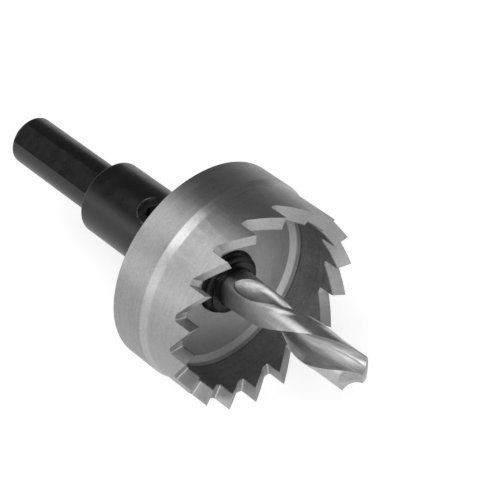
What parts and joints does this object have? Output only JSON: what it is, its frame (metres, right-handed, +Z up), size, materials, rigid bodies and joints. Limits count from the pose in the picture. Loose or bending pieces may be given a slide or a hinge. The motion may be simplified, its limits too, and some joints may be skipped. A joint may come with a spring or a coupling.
{
  "type": "hole saw",
  "caption": "Toothed steel cup on a dark round-shank arbor, with a central twist drill held by a socket set screw, for cutting round holes.",
  "frame": {"origin": "centre of the shank's end face, on the tool's axis", "axes": "+X along the axis from the shank to the drill's point; +Z up as the tool is held level; angles turn about +X from +Y towards +Z"},
  "size_m": [0.0742, 0.0328, 0.0328],
  "materials": {
    "cutter_steel": "satin turned and ground",
    "black_steel": "black oxide, satin",
    "drill_steel": "ground, bright",
    "screw_steel": "black oxide"
  },
  "bodies": {
    "root": {"cup": "cutter_steel", "arbor": "black_steel", "pilot_drill": "drill_steel", "set_screw": "screw_steel"}
  },
  "joints": []
}
